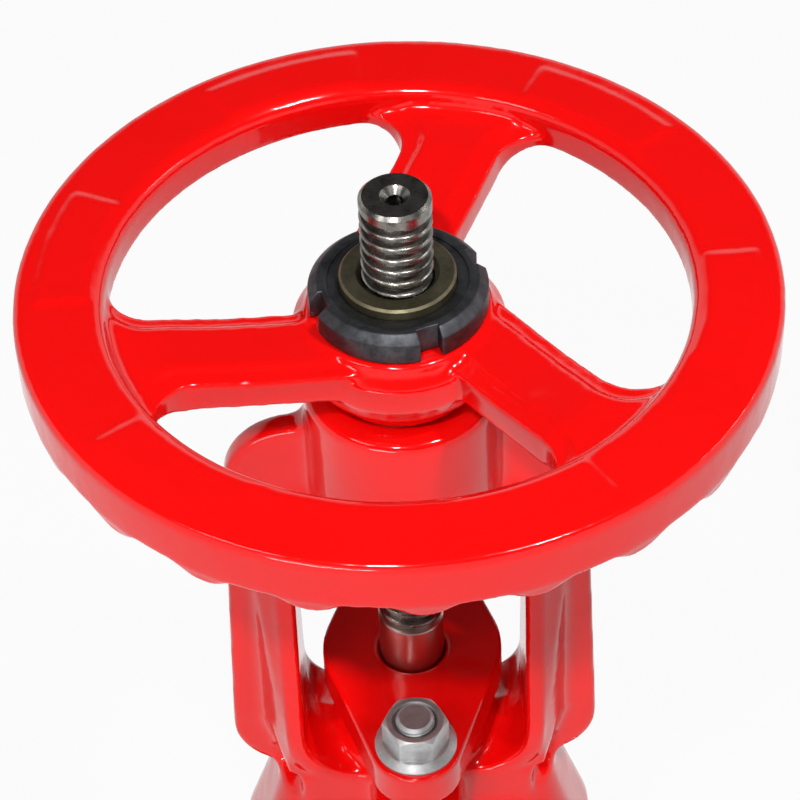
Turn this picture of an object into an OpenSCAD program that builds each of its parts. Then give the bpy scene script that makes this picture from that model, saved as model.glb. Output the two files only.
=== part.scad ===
// Grooved-end gate valve with an outside screw and yoke: a handwheel turns a nut in the top of the
// yoke, and the stem and wedge rise through it without turning. The pipe axis lies along Y, the
// yoke legs stand on either side in X, and the origin is under the foot, on the stem axis.

/* [Pipe ends] */
// Outside diameter of the grooved ends
pipe_od = 114.3; // [110:0.1:118]
// Wall of the grooved ends round the waterway
pipe_wall = 7.15; // [6:0.05:11]
// Length from end face to end face
face_to_face = 229; // [215:1:260]
// Depth of the coupling groove
groove_depth = 2.1; // [1.5:0.1:3]
// Width of the coupling groove
groove_w = 8.74; // [6:0.01:11]
// Gasket seat, from the end face to the groove
seat_w = 15.88; // [13:0.01:18]

/* [Body and bonnet] */
// Height of the foot below the pipe
foot_h = 14.85; // [13:0.05:30]
// Wall of the castings round the wedge chamber
wall = 8; // [7:0.5:10]
// Height of the body flange's face above the pipe
chest_cover = 8.85; // [6:0.05:16]
// Thickness of the body and bonnet flanges
flange_t = 16; // [12:0.5:18]
// Width of the flange outside the chest wall at the sides
flange_rim = 26; // [25:0.5:32]
// Width of the flange outside the dome at the ends
flange_end = 27; // [25:0.5:34]
// Radius of the flange corners
flange_corner = 34; // [28:1:40]
// Thickness of the bonnet gasket
gasket_t = 2; // [1:0.5:4]
// Thickness of the roof of the dome
dome_roof = 10.7; // [9:0.1:24]
// Height of the neck between the dome and the yoke window
neck_h = 15; // [13:0.5:24]
// Height of the hollow cone between the wedge chamber and the roof of the dome
cone_h = 34; // [20:1:50]
// How far the dome stands outside the chest where it leaves its flange
dome_base = 11; // [8:0.5:16]
// How far the dome stands outside the chest at its shoulder
dome_shoulder = 6; // [4:0.5:10]
// Half length of the dome at its top
dome_top_x = 52; // [49:0.5:60]
// Half width of the dome at its top
dome_top_y = 25; // [24:0.5:27]
// Length of the cast foot
foot_l = 84; // [70:1:100]
// Width of the cast foot
foot_w = 64; // [56:1:70]

/* [Bolts] */
// Thread diameter of the bonnet bolts
bolt_d = 12; // [10:1:12]
// Thread diameter of the gland bolts
gland_bolt_d = 14; // [12:1:14]
// Distance of the gland bolts from the stem axis
gland_bolt_y = 47; // [46:0.5:50]

/* [Wedge and stem] */
// Thickness of the wedge at the pipe axis
wedge_t = 36; // [32:0.5:37]
// Taper of each wedge face
wedge_angle = 5; // [3:0.5:5.5]
// Thread diameter of the stem
stem_d = 24; // [22:0.5:25]
// Pitch of the stem thread
stem_pitch = 5; // [4:0.5:5]
// Turns of the handwheel from closed to open
wheel_turns = 21; // [18:1:21]
// Length of stem above the rim of the handwheel when closed
stem_show = 36; // [30:1:50]

/* [Yoke] */
// Half width of the yoke window
window_x = 41.5; // [38:0.5:44]
// Height of the yoke window
window_h = 133; // [125:1:150]
// Thickness of the inner bar of each leg
leg_t = 7; // [6:0.5:11]
// Half width of the legs at the window floor
leg_base_y = 25; // [23:0.5:26]
// Half width of the legs at the top of the window
leg_top_y = 13.5; // [11:0.5:16]
// Thickness of the outer fin of each leg
fin_t = 10; // [8:0.5:14]
// Reach of the fin from the stem axis at its foot
fin_foot_x = 69.3; // [66:0.5:74]
// Reach of the fin from the stem axis at its shoulder
fin_shoulder_x = 64; // [60:0.5:66]
// Diameter of the bearing boss at the top of the yoke
boss_d = 68; // [66:1:76]
// Height of the bearing boss above the window
boss_h = 54; // [48:1:60]

/* [Gland] */
// Outside diameter of the stuffing box
box_d = 56; // [52:1:60]
// Height of the stuffing box above the window floor
box_h = 26; // [22:1:30]
// Gap between the stuffing box and the follower plate
follower_lift = 4; // [2:0.5:8]
// Thickness of the follower plate
follower_t = 16; // [12:0.5:20]
// Radius of the follower round the stem
follower_r = 33.5; // [31:0.5:36]
// Radius of the follower round each bolt
follower_ear_r = 17; // [15:0.5:18]

/* [Handwheel] */
// Outside diameter of the handwheel
wheel_d = 254; // [240:1:270]
// Width of the rim
rim_w = 30; // [26:0.5:34]
// Depth of the rim at its outer wall
rim_h = 19.7; // [16:0.1:22]
// Thickness of the rim shell over its hollow underside
rim_shell = 7; // [5:0.5:8]
// Number of grip lobes under the rim
lobe_count = 22; // [18:1:26]
// Height of a grip lobe below the rim wall
lobe_h = 4.8; // [3:0.1:8]
// Width of a grip lobe
lobe_w = 20; // [16:1:30]
// Number of spokes
spoke_count = 3; // [3:1:4]
// Width of a spoke
spoke_w = 33; // [26:0.5:34]
// Distance of a spoke's centre line from the stem axis
spoke_offset = 12.4; // [8:0.1:13]
// Direction of the first spoke
spoke_angle = 66; // [0:1:119]
// Radius of the fillets between a spoke and the rim
spoke_fillet = 15.5; // [8:0.5:17]
// Height of the raised middle of each spoke
crown_h = 1.8; // [0.5:0.1:3]
// Width of the low band on each side of the raised middle
crown_edge = 6.5; // [4:0.5:8]
// Number of raised pads on the rim
pad_count = 6; // [4:1:8]
// Angle that each pad covers
pad_angle = 27; // [20:1:36]
// Diameter of the hub at its widest, where the spokes meet it
collar_d = 72; // [68:1:74]
// Diameter of the hub below the spokes
hub_d = 52; // [48:1:56]
// Length of the hub
hub_l = 33.5; // [31:0.5:38]
// Diameter of the lock nut
lock_nut_d = 60; // [54:1:62]
// Thickness of the lock nut
lock_nut_t = 10.5; // [8:0.5:14]

/* [Hidden] */
$fn = 64;

// Clearances and small sizes that several pieces share
run_gap = 0.3;
side_gap = 5.3;
hole_gap = 0.6;
thread_gap = 0.1;
eps = 0.5;
hull_sides = 32;
red = "red";
steel = "silver";

// Wedge, measured from the pipe axis, and the chamber that it rises into
axis_z = pipe_od / 2 + foot_h;
lift = stem_pitch * wheel_turns;
bore_d = pipe_od - 2 * pipe_wall;
wedge_r = bore_d / 2 - run_gap;
arm_drop = 6.7;
crown_rise = 3.3;
top_rise = 10.3;
wedge_arm_z = wedge_r - arm_drop;
wedge_crown_z = wedge_r + crown_rise;
wedge_top_z = wedge_r + top_rise;
wedge_block_x = 26;
wedge_block_y = 15;
wedge_slope = tan(wedge_angle);
stem_socket_z = 10;
chamber_x = wedge_r + side_gap;
chamber_y = wedge_t / 2 + wedge_crown_z * wedge_slope + side_gap;
chamber_corner = 6;
chest_x = chamber_x + wall;
chest_y = chamber_y + wall;
chest_corner = 16;
dome_corner = 20;
dome_base_x = chest_x + dome_base;
dome_shoulder_x = chest_x + dome_shoulder;
arm_room_z = axis_z + lift + wedge_arm_z + side_gap;
crown_room_z = axis_z + lift + wedge_crown_z + side_gap;
roof_z = axis_z + lift + wedge_top_z + side_gap + cone_h;
shoulder_z = crown_room_z - side_gap;

// Heights of the body, bonnet and yoke, from the foot up
barrel_cover = 3;
chest_h = max(pipe_od / 2 + chest_cover, chest_x + barrel_cover);
flange_face_z = axis_z + chest_h;
bonnet_z = flange_face_z + gasket_t;
dome_z = bonnet_z + flange_t;
dome_top_z = roof_z + dome_roof;
floor_z = dome_top_z + neck_h;
window_top_z = floor_z + window_h;
boss_top_z = window_top_z + boss_h;

// Heights of the hub and the nuts over the boss
hub_gap = 1.5;
lock_gap = 0.5;
nut_stand = 3;
hub_z = boss_top_z + hub_gap;
hub_top_z = hub_z + hub_l;
lock_nut_z = hub_top_z + lock_gap;
rim_z = lock_nut_z + lock_nut_t;
stem_nut_top_z = rim_z + nut_stand;
stem_top_z = rim_z + stem_show;

// Flange outline and the six bolts round it, with the side bolts clear of the pipe
flange_x = dome_base_x + flange_end;
flange_y = chest_y + flange_rim;
bolt_inset = 13;
side_bolt_set_in = 2;
end_bolt_x = flange_x - bolt_inset;
side_bolt_x = chest_x - side_bolt_set_in;
side_bolt_y = flange_y - bolt_inset;
BOLTS = [[end_bolt_x, 0], [side_bolt_x, side_bolt_y], [-side_bolt_x, side_bolt_y],
         [-end_bolt_x, 0], [-side_bolt_x, -side_bolt_y], [side_bolt_x, -side_bolt_y]];
bolt_flats = 1.58 * bolt_d;
bolt_head_h = 0.63 * bolt_d;
bolt_nut_h = 0.9 * bolt_d;
bolt_end = 3;

// Gland levels
follower_z = floor_z + box_h + follower_lift;
follower_top_z = follower_z + follower_t;
packing_w = 5.6;
packing_r = stem_d / 2 + packing_w;
packing_floor = 6;
packing_floor_z = floor_z - packing_floor;
spigot_l = follower_lift + 14;
lug_t = 15;
lug_proud = 1;
lug_wall = 9;
lug_z = floor_z - lug_t + lug_proud;
lug_r = gland_bolt_d / 2 + lug_wall;
gland_flats = 1.5 * gland_bolt_d;
gland_flange_d = 2.13 * gland_bolt_d;
gland_flange_h = 3;
gland_cone_h = 2;
gland_nut_h = 13.5;
gland_bolt_end = 1.8;
gland_head_h = 9;

// Yoke window, and the two round corners of each fin
window_corner = 20;
fin_shoulder_r = 27;
fin_foot_r = 24;
fin_rise = 8;
fin_lift = 7;
web_bury = 1;
web_reach = 11;
web_foot_reach = 4;
web_lean = 0.7;
web_foot_y = 9;
fin_shoulder = [fin_shoulder_x - fin_shoulder_r, window_top_z + fin_rise];
fin_foot = [fin_foot_x - fin_foot_r, floor_z + fin_lift];

// Stem nut in the bearing boss, with its collar in a spot face under the boss
stem_bore_r = stem_d / 2 + run_gap;
barrel_r = 21.5;
nut_end_r = 19.5;
nut_collar_r = 26;
nut_collar_t = 8.7;
nut_thread_l = 65;
nut_relief = 1.2;
spot_r = nut_collar_r + side_gap;

// Handwheel levels, measured down from the top of the rim
rim_outer_r = wheel_d / 2;
rim_inner_r = rim_outer_r - rim_w;
rim_edge_r = 3;
rim_inner_h = 15;
rim_inner_edge_r = 5.5;
lobe_phase = -87.9;
lobe_set_back = 1;
pad_h = 0.8;
pad_in = 5;
pad_w = 17;
pad_start = -24;
collar_h = 16;
collar_slope = 7.5;
lip_h = 3;
lip_r = 31;
lip_flare = 1;
hub_round = 10;
hub_round_r = 33;
hub_straight = 3;
spoke_mid_r = 0.6 * rim_inner_r;
spoke_rise_r = 0.82 * rim_inner_r;
spoke_top_hub = -13.5;
spoke_top_mid = -11;
spoke_top_rim = -8;
spoke_low_hub = -27;
spoke_low_rise = -22;
spoke_low_rim = -14;

// Rectangle with rounded corners, from its half sizes
module round_rect(hx, hy, r) {
    square([2 * (hx - r), 2 * hy], center = true);
    square([2 * hx, 2 * (hy - r)], center = true);
    for (sx = [-1, 1], sy = [-1, 1])
        translate([sx * (hx - r), sy * (hy - r)])
            circle(r);
}

module prism(hx, hy, r, z0, z1) {
    translate([0, 0, z0])
        linear_extrude(z1 - z0)
            round_rect(hx, hy, r);
}

// Cylinder along the pipe axis, centred on the valve
module pipe_cylinder(r, l) {
    translate([0, 0, axis_z])
        rotate([90, 0, 0])
            cylinder(r = r, h = l, center = true);
}

// Extrudes an outline drawn in Y and Z through the valve in X
module extrude_x(hx) {
    rotate([90, 0, 90])
        linear_extrude(2 * hx, center = true)
            children();
}

// Extrudes an outline drawn in X and Z through the valve in Y
module extrude_y(hy) {
    rotate([90, 0, 0])
        linear_extrude(2 * hy, center = true)
            children();
}

module flange_plate(z, t) {
    prism(flange_x, flange_y, flange_corner, z, z + t);
}

module bolt_holes(z, t) {
    for (p = BOLTS)
        translate([p.x, p.y, z - eps])
            cylinder(d = bolt_d + hole_gap, h = t + 2 * eps);
}

// Hexagon with its corners turned off at the top
module turned_hexagon(flats, h) {
    corner_d = flats / cos(30);
    turned_h = (corner_d - flats) / 2;
    intersection() {
        cylinder(d = corner_d, h = h, $fn = 6);
        union() {
            cylinder(d = corner_d + eps, h = h - turned_h);
            translate([0, 0, h - turned_h])
                cylinder(d1 = corner_d + eps, d2 = flats - eps, h = turned_h);
        }
    }
}

// Half of the tapered space between the seats, from the pipe axis up
module seat_outline(gap, top) {
    y0 = wedge_t / 2 + gap;
    y1 = y0 + top * wedge_slope;
    polygon([[-y0, 0], [y0, 0], [y1, top], [-y1, top]]);
}

module end_groove(side) {
    translate([0, side * (face_to_face / 2 - seat_w - groove_w / 2), axis_z])
        rotate([90, 0, 0])
            difference() {
                cylinder(d = pipe_od + 2 * eps, h = groove_w, center = true);
                cylinder(d = pipe_od - 2 * groove_depth, h = groove_w + 2 * eps, center = true);
            }
}

module body() {
    neck_l = 14;
    foot_root = 6;
    color(red)
    difference() {
        union() {
            pipe_cylinder(pipe_od / 2, face_to_face);
            pipe_cylinder(chest_x, 2 * chest_y);
            for (side = [-1, 1])
                translate([0, side * chest_y, axis_z])
                    rotate([-side * 90, 0, 0])
                        cylinder(r1 = chest_x, r2 = pipe_od / 2, h = neck_l);
            prism(chest_x, chest_y, chest_corner, axis_z, flange_face_z - eps);
            flange_plate(flange_face_z - flange_t, flange_t);
            prism(foot_l / 2, foot_w / 2, chest_corner, 0, axis_z - bore_d / 2 + foot_root);
        }
        pipe_cylinder(bore_d / 2, face_to_face + 2 * eps);
        translate([0, 0, axis_z])
            extrude_x(chamber_x)
                seat_outline(run_gap, chest_h + eps);
        end_groove(1);
        end_groove(-1);
        bolt_holes(flange_face_z - flange_t, flange_t);
    }
}

module bonnet_gasket() {
    color("dimgray")
    difference() {
        flange_plate(flange_face_z, gasket_t);
        prism(chamber_x, chamber_y, chamber_corner, flange_face_z - eps, bonnet_z + eps);
        bolt_holes(flange_face_z, gasket_t);
    }
}

module dome_slab(hx, hy, corner, z) {
    translate([0, 0, z])
        linear_extrude(eps)
            round_rect(hx, hy, corner, $fn = hull_sides);
}

// Dome of the bonnet: nearly straight sides, then a cone up to the yoke
module dome() {
    hull() {
        dome_slab(dome_base_x, chest_y, dome_corner, dome_z - eps);
        dome_slab(dome_shoulder_x, chest_y, dome_corner, shoulder_z - eps);
    }
    hull() {
        dome_slab(dome_shoulder_x, chest_y, dome_corner, shoulder_z - eps);
        dome_slab(dome_top_x, dome_top_y, chest_corner, dome_top_z - eps);
    }
}

// Room for the wedge when the valve is open
module chamber() {
    prism(chamber_x, chamber_y, chamber_corner, bonnet_z - eps, arm_room_z);
    prism(wedge_block_x + side_gap, chamber_y, chamber_corner, bonnet_z - eps, crown_room_z);
    prism(wedge_block_x + side_gap, wedge_block_y + side_gap, chamber_corner, bonnet_z - eps, roof_z);
}

module window_outline() {
    translate([0, floor_z + window_h / 2])
        round_rect(window_x, window_h / 2, window_corner);
}

// Closed band round the yoke window, wide at its foot and narrow at its top
module leg_bars() {
    intersection() {
        extrude_y(leg_base_y)
            difference() {
                translate([0, floor_z + window_h / 2])
                    round_rect(window_x + leg_t, window_h / 2 + leg_t, window_corner + leg_t);
                window_outline();
            }
        extrude_x(window_x + leg_t + eps)
            polygon([[-leg_base_y, floor_z - 2 * leg_t], [leg_base_y, floor_z - 2 * leg_t],
                     [leg_base_y, floor_z + window_corner], [leg_top_y, window_top_z - window_corner],
                     [leg_top_y, boss_top_z], [-leg_top_y, boss_top_z],
                     [-leg_top_y, window_top_z - window_corner], [-leg_base_y, floor_z + window_corner]]);
    }
}

// Slab of the web between an inner bar and its fin, wide at the bar and narrow at the fin
module web_slab(z, bar_y, reach, out_y) {
    bar_x = window_x + leg_t - web_bury;
    translate([0, 0, z])
        linear_extrude(eps)
            polygon([[bar_x, -bar_y], [bar_x + reach, -out_y], [bar_x + reach, out_y], [bar_x, bar_y]]);
}

// Sloping web on the outside of each leg, which joins the bar to the fin
module leg_webs() {
    for (side = [0, 1])
        mirror([side, 0, 0])
            hull() {
                web_slab(floor_z - web_bury, leg_base_y - web_lean, web_foot_reach, web_foot_y);
                web_slab(floor_z + window_corner, leg_base_y - 2 * web_lean, web_reach, fin_t / 2 - web_lean);
                web_slab(window_top_z - window_corner, leg_top_y - web_lean, web_reach, fin_t / 2 - web_lean);
            }
}

// Outline of both fins: two round corners and the line that touches them
module fin_outline() {
    lean = atan2(fin_shoulder.x - fin_foot.x, fin_shoulder.y - fin_foot.y);
    spread = asin((fin_shoulder_r - fin_foot_r) / norm(fin_shoulder - fin_foot));
    side = [cos(lean - spread), -sin(lean - spread)];
    touch_top = fin_shoulder + fin_shoulder_r * side;
    touch_low = fin_foot + fin_foot_r * side;
    high = fin_shoulder.y + fin_shoulder_r;
    low = fin_foot.y - fin_foot_r;
    difference() {
        for (s = [0, 1])
            mirror([s, 0]) {
                translate(fin_shoulder)
                    circle(fin_shoulder_r);
                translate(fin_foot)
                    circle(fin_foot_r);
                polygon([[0, high], [fin_shoulder.x, high], fin_shoulder, touch_top, touch_low,
                         fin_foot, [fin_foot.x, low], [0, low]]);
            }
        window_outline();
    }
}

module gland_lugs() {
    translate([0, 0, lug_z])
        linear_extrude(lug_t) {
            square([2 * lug_r, 2 * gland_bolt_y], center = true);
            for (side = [-1, 1])
                translate([0, side * gland_bolt_y])
                    circle(lug_r);
        }
}

// Bonnet and yoke, one casting
module bonnet() {
    neck_x = 44;
    neck_low_z = dome_top_z - 5;
    neck_top_z = floor_z - 2;
    chamfer = 2;
    spot_z = window_top_z - nut_collar_t - side_gap;
    color(red)
    difference() {
        union() {
            flange_plate(bonnet_z, flange_t);
            dome();
            translate([-neck_x, -leg_base_y, neck_low_z])
                cube([2 * neck_x, 2 * leg_base_y, neck_top_z - neck_low_z]);
            leg_bars();
            leg_webs();
            extrude_y(fin_t / 2)
                fin_outline();
            gland_lugs();
            translate([0, 0, dome_top_z - eps])
                cylinder(d = box_d, h = floor_z + box_h - dome_top_z + eps);
            translate([0, 0, window_top_z])
                cylinder(d = boss_d, h = boss_h - chamfer);
            translate([0, 0, boss_top_z - chamfer])
                cylinder(d1 = boss_d, d2 = boss_d - 2 * chamfer, h = chamfer);
        }
        chamber();
        bolt_holes(bonnet_z, flange_t);
        cylinder(r = stem_bore_r, h = floor_z + box_h);
        translate([0, 0, packing_floor_z])
            cylinder(r = packing_r + run_gap, h = box_h + packing_floor + eps);
        translate([0, 0, spot_z])
            cylinder(r = spot_r, h = window_top_z - spot_z);
        translate([0, 0, window_top_z - eps])
            cylinder(r = barrel_r + run_gap, h = boss_h + 2 * eps);
        for (side = [-1, 1])
            translate([0, side * gland_bolt_y, lug_z - eps])
                cylinder(d = gland_bolt_d + hole_gap, h = lug_t + 2 * eps);
    }
}

module bonnet_bolt(i) {
    low_z = flange_face_z - flange_t - bolt_nut_h - bolt_end;
    color(steel)
    translate([BOLTS[i].x, BOLTS[i].y, 0]) {
        translate([0, 0, low_z])
            cylinder(d = bolt_d, h = dome_z - low_z);
        translate([0, 0, dome_z])
            turned_hexagon(bolt_flats, bolt_head_h);
    }
}

module bonnet_nut(i) {
    color(steel)
    translate([BOLTS[i].x, BOLTS[i].y, flange_face_z - flange_t])
        rotate([180, 0, 0])
            difference() {
                turned_hexagon(bolt_flats, bolt_nut_h);
                translate([0, 0, -eps])
                    cylinder(d = bolt_d + thread_gap, h = bolt_nut_h + 2 * eps);
            }
}

// Rhombic plate: a disc round the stem, one round each bolt, and the lines that touch them
module follower_outline() {
    tilt = acos((follower_r - follower_ear_r) / gland_bolt_y);
    for (side = [-1, 1])
        translate([0, side * gland_bolt_y])
            circle(follower_ear_r);
    circle(follower_r);
    polygon([for (k = [0:3])
        let (a = (k < 2 ? 90 : 270) + (k % 2 == 0 ? -tilt : tilt))
        each [for (e = k % 2 == 0 ? [0, 1] : [1, 0])
            [0, e * gland_bolt_y * (k < 2 ? 1 : -1)]
            + (e == 1 ? follower_ear_r : follower_r) * [cos(a), sin(a)]]]);
}

module gland_follower() {
    lead_in = 3;
    lead_h = 2;
    color(red)
    difference() {
        union() {
            translate([0, 0, follower_z])
                linear_extrude(follower_t)
                    follower_outline();
            translate([0, 0, follower_z - spigot_l])
                cylinder(r = packing_r, h = spigot_l + eps);
        }
        translate([0, 0, follower_z - spigot_l - eps])
            cylinder(r = stem_bore_r, h = spigot_l + follower_t + 2 * eps);
        translate([0, 0, follower_top_z - lead_h])
            cylinder(r1 = stem_bore_r, r2 = stem_bore_r + lead_in, h = lead_in);
        for (side = [-1, 1])
            translate([0, side * gland_bolt_y, follower_z - eps])
                cylinder(d = gland_bolt_d + hole_gap, h = follower_t + 2 * eps);
    }
}

module gland_bolt(side) {
    color(steel)
    translate([0, side * gland_bolt_y, lug_z]) {
        cylinder(d = gland_bolt_d, h = follower_top_z - lug_z + gland_nut_h + gland_bolt_end);
        rotate([180, 0, 0])
            turned_hexagon(gland_flats, gland_head_h);
    }
}

// Hexagon on a flange with a sloping top
module gland_nut(side) {
    color(steel)
    translate([0, side * gland_bolt_y, follower_top_z])
        difference() {
            union() {
                cylinder(d = gland_flange_d, h = gland_flange_h - gland_cone_h);
                translate([0, 0, gland_flange_h - gland_cone_h])
                    cylinder(d1 = gland_flange_d, d2 = gland_flats / cos(30), h = gland_cone_h);
                turned_hexagon(gland_flats, gland_nut_h);
            }
            translate([0, 0, -eps])
                cylinder(d = gland_bolt_d + thread_gap, h = gland_nut_h + 2 * eps);
        }
}

module wedge() {
    face_drop = 2;
    face_r = 0.72 * wedge_r;
    y_low = wedge_t / 2 - wedge_r * wedge_slope;
    y_crown = wedge_t / 2 + wedge_crown_z * wedge_slope;
    color("dimgray")
    translate([0, 0, axis_z])
        difference() {
            intersection() {
                extrude_y(wedge_t) {
                    circle(wedge_r);
                    translate([-wedge_r, 0])
                        square([2 * wedge_r, wedge_arm_z]);
                    translate([-wedge_block_x, 0])
                        square([2 * wedge_block_x, wedge_top_z]);
                }
                extrude_x(wedge_r + 1)
                    polygon([[-y_low, -wedge_r], [y_low, -wedge_r], [y_crown, wedge_crown_z],
                             [wedge_block_y, wedge_top_z], [-wedge_block_y, wedge_top_z],
                             [-y_crown, wedge_crown_z]]);
            }
            for (side = [-1, 1])
                translate([0, side * (wedge_t / 2 - face_drop), 0])
                    rotate([-side * (90 + wedge_angle), 0, 0])
                        cylinder(r = face_r, h = wedge_t);
            translate([0, 0, stem_socket_z])
                cylinder(d = stem_d + thread_gap, h = wedge_top_z);
        }
}

module stem() {
    chamfer = 2.5;
    low_z = axis_z + stem_socket_z;
    centre_d = 5.5;
    centre_h = 8;
    color("gray")
    difference() {
        union() {
            translate([0, 0, low_z])
                cylinder(d = stem_d, h = stem_top_z - low_z - chamfer);
            translate([0, 0, stem_top_z - chamfer])
                cylinder(d1 = stem_d, d2 = stem_d - 2 * chamfer, h = chamfer);
        }
        translate([0, 0, stem_top_z - centre_h])
            cylinder(d = centre_d, h = centre_h + eps);
        translate([0, 0, stem_top_z - centre_d / 2])
            cylinder(d1 = centre_d, d2 = 2 * centre_d, h = centre_d / 2);
    }
}

// Bronze nut: a collar under the boss, a barrel through it and the hub, and a threaded end
module stem_nut() {
    low_z = window_top_z - run_gap - nut_collar_t;
    bore_chamfer = 1;
    color("darkgoldenrod")
    difference() {
        union() {
            translate([0, 0, low_z])
                cylinder(r = nut_collar_r, h = nut_collar_t);
            translate([0, 0, low_z])
                cylinder(r = barrel_r, h = hub_top_z - low_z);
            translate([0, 0, hub_top_z - eps])
                cylinder(r = nut_end_r, h = stem_nut_top_z - hub_top_z + eps);
        }
        translate([0, 0, low_z - eps])
            cylinder(r = stem_bore_r, h = stem_nut_top_z - low_z + 2 * eps);
        translate([0, 0, low_z - eps])
            cylinder(r = stem_bore_r + nut_relief, h = rim_z - nut_thread_l - low_z + eps);
        translate([0, 0, stem_nut_top_z - bore_chamfer])
            cylinder(r1 = stem_bore_r, r2 = stem_bore_r + bore_chamfer, h = bore_chamfer);
    }
}

module lock_nut() {
    slot_w = 7.5;
    slot_h = 4.5;
    slot_angle = 20;
    step_r = 23.5;
    step_h = 1;
    chamfer = 3;
    color("black")
    translate([0, 0, lock_nut_z])
        difference() {
            union() {
                cylinder(d = lock_nut_d, h = lock_nut_t - chamfer);
                translate([0, 0, lock_nut_t - chamfer])
                    cylinder(d1 = lock_nut_d, d2 = lock_nut_d - 2 * chamfer, h = chamfer);
            }
            translate([0, 0, -eps])
                cylinder(r = nut_end_r + thread_gap, h = lock_nut_t + 2 * eps);
            translate([0, 0, lock_nut_t - step_h])
                cylinder(r = step_r, h = step_h + eps);
            for (k = [0:3])
                rotate(slot_angle + 90 * k)
                    translate([lock_nut_d / 2 - slot_h, -slot_w / 2, -eps])
                        cube([slot_h + eps, slot_w, lock_nut_t + 2 * eps]);
        }
}

// Section of the rim: a rounded top over a hollow underside, drawn from its top edge down
module rim_section() {
    difference() {
        union() {
            translate([rim_inner_r, -rim_inner_h])
                square([rim_w / 2, rim_inner_h - rim_inner_edge_r]);
            translate([rim_inner_r + rim_inner_edge_r, -rim_inner_edge_r])
                circle(rim_inner_edge_r);
            translate([rim_outer_r - rim_w / 2, -rim_h])
                square([rim_w / 2, rim_h - rim_edge_r]);
            translate([rim_inner_r + rim_inner_edge_r, -rim_inner_edge_r - eps])
                square([rim_w - rim_inner_edge_r - rim_edge_r, rim_inner_edge_r + eps]);
            translate([rim_outer_r - rim_edge_r, -rim_edge_r])
                circle(rim_edge_r);
        }
        translate([rim_inner_r + rim_shell, -rim_h - eps])
            square([rim_w - 2 * rim_shell, rim_h - rim_shell + eps]);
    }
}

// Grip lobes: low rounds that stand down from the lower edge of the outer wall
module grip_lobes() {
    root_h = 2;
    lobe_r = (lobe_w * lobe_w / 4 + lobe_h * lobe_h) / (2 * lobe_h);
    for (k = [0:lobe_count - 1])
        rotate(lobe_phase + 360 / lobe_count * k)
            translate([rim_outer_r - rim_shell + lobe_set_back, 0, -rim_h - lobe_h])
                rotate([90, 0, 90])
                    linear_extrude(rim_shell - 2 * lobe_set_back)
                        intersection() {
                            translate([0, lobe_r])
                                circle(lobe_r);
                            translate([-lobe_w, 0])
                                square([2 * lobe_w, lobe_h + root_h]);
                        }
}

// Fillet in plan between one edge of a spoke and the inside of the rim. It runs a little way into
// the rim, so that it meets the wall at a clear angle
module spoke_corner(edge_y) {
    bite = 0.6;
    y_f = edge_y + spoke_fillet;
    reach = rim_inner_r + bite - spoke_fillet;
    x_f = sqrt(reach * reach - y_f * y_f);
    meet = [x_f, y_f] * (rim_inner_r + bite) / reach;
    difference() {
        polygon([[x_f, edge_y - eps], [rim_inner_r + 2 * eps, edge_y - eps], meet + 2 * [eps, eps], meet,
                 [x_f, y_f]]);
        translate([x_f, y_f])
            circle(spoke_fillet);
    }
}

// Plan of a spoke between its two edges, with both fillets, extruded through its whole depth
module spoke_plan(low_y, high_y) {
    translate([0, 0, spoke_low_hub - eps])
        linear_extrude(-spoke_low_hub + eps) {
            translate([0, low_y])
                square([rim_outer_r, high_y - low_y]);
            spoke_corner(high_y);
            mirror([0, 1])
                spoke_corner(-low_y);
        }
}

// Height of a spoke's top at four places from the hub out to the rim, lowered by a drop
function spoke_top(drop, bury) = [
    [hub_d / 2 - bury, spoke_top_hub - drop],
    [spoke_mid_r, spoke_top_mid - drop],
    [spoke_rise_r, spoke_top_rim - drop],
    [rim_inner_r + bury, spoke_top_rim - drop]];

// Spoke: a low bar as wide as the spoke, and a raised middle let into its top
module spoke() {
    low_y = spoke_offset - spoke_w / 2;
    high_y = spoke_offset + spoke_w / 2;
    bar_bury = 3;
    crown_bury = 2;
    crown_depth = 4;
    end_r = rim_inner_r + bar_bury;
    intersection() {
        spoke_plan(low_y, high_y);
        rotate_extrude()
            polygon(concat(spoke_top(crown_h, bar_bury),
                           [[end_r, spoke_low_rim], [end_r - crown_bury, spoke_low_rim],
                            [spoke_rise_r, spoke_low_rise], [hub_d / 2 - bar_bury, spoke_low_hub]]));
    }
    intersection() {
        spoke_plan(low_y + crown_edge, high_y - crown_edge);
        rotate_extrude()
            polygon(concat(spoke_top(0, crown_bury),
                           [for (k = [3:-1:0]) spoke_top(crown_depth, crown_bury)[k]]));
    }
}

// Section of the hub, widest where the spokes meet it, with a lip under the lock nut
module hub_section() {
    low = hub_z - rim_z;
    top = hub_top_z - rim_z;
    polygon([[0, low], [hub_d / 2, low], [hub_d / 2, low + hub_straight], [hub_round_r, low + hub_round],
             [collar_d / 2, top - collar_h], [collar_d / 2, top - collar_slope], [lip_r + lip_flare, top - lip_h],
             [lip_r, top], [0, top]]);
}

module handwheel() {
    color(red)
    translate([0, 0, rim_z])
        difference() {
            union() {
                rotate_extrude()
                    rim_section();
                grip_lobes();
                for (k = [0:pad_count - 1])
                    rotate(pad_start + 360 / pad_count * k)
                        rotate_extrude(angle = pad_angle)
                            translate([rim_inner_r + pad_in, -eps])
                                square([pad_w, pad_h + eps]);
                for (k = [0:spoke_count - 1])
                    rotate(spoke_angle + 360 / spoke_count * k)
                        spoke();
                rotate_extrude()
                    hub_section();
            }
            translate([0, 0, hub_z - rim_z - eps])
                cylinder(r = barrel_r + thread_gap, h = hub_l + 2 * eps);
        }
}

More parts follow.
